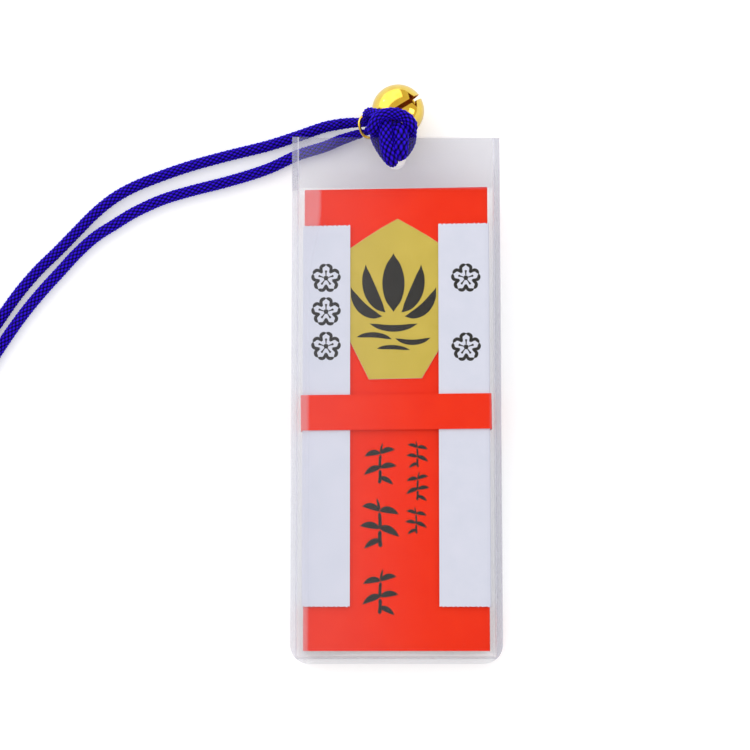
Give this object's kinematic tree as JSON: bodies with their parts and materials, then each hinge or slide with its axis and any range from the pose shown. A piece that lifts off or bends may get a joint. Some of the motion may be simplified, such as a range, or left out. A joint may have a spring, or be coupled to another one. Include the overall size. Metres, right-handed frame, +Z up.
{
  "type": "omamori charm",
  "caption": "Paper amulet packet in a clear soft sleeve, hung on a braided cord tied in a lark's head, with a small gilt jingle bell on a jump ring.",
  "frame": {"origin": "the middle of the footprint of everything but the free cord, on the surface that the charm lies on", "axes": "+X to the charm's right as it lies face up, +Y along the sleeve towards its open mouth and the bell, +Z up out of the charm's front"},
  "size_m": [0.0844, 0.0874, 0.0109],
  "materials": {
    "clear_film": "clear soft film, faintly milky",
    "slip_board": "plain board",
    "red_paper": "matt dyed paper",
    "gold_paper": "satin gold-faced paper",
    "white_paper": "matt white paper",
    "blue_cord": "round braid",
    "gilt_brass": "polished gilt",
    "steel_ball": "plain steel"
  },
  "bodies": {
    "sleeve": {"sleeve_front_film": "clear_film", "sleeve_back_film": "clear_film", "cord_hitch": "blue_cord", "cord_strand_upper": "blue_cord", "cord_strand_lower": "blue_cord", "cord_end_knot": "blue_cord"},
    "packet": {"talisman_slip": "slip_board", "red_wrapper": "red_paper", "gold_plaque": "gold_paper", "white_wrapper": "white_paper", "red_band": "red_paper"},
    "ring": {"bell_ring": "gilt_brass"},
    "bell": {"bell_shell": "gilt_brass", "bell_shackle": "gilt_brass"},
    "pellet": {"bell_pellet": "steel_ball"}
  },
  "joints": [
    {"name": "packet_slide", "type": "slide", "parent": "sleeve", "child": "packet", "axis": [0, 0.997, 0.0776], "range_m": [-0.0006, 0.0019]},
    {"name": "ring_swing", "type": "hinge", "parent": "sleeve", "child": "ring", "pos_m": [-0.00427, 0.03756, 0.00269], "axis": [-0.7121, 0, -0.7021], "range_deg": [0, 30]},
    {"name": "bell_swing", "type": "hinge", "parent": "ring", "child": "bell", "pos_m": [-0.00304, 0.03758, 0.00144], "axis": [-0.007, 0.9999, 0.0071], "range_deg": [0, 60]},
    {"name": "pellet_rattle", "type": "slide", "parent": "bell", "child": "pellet", "axis": [0, 0, 1], "range_m": [0, 0.0045]}
  ]
}
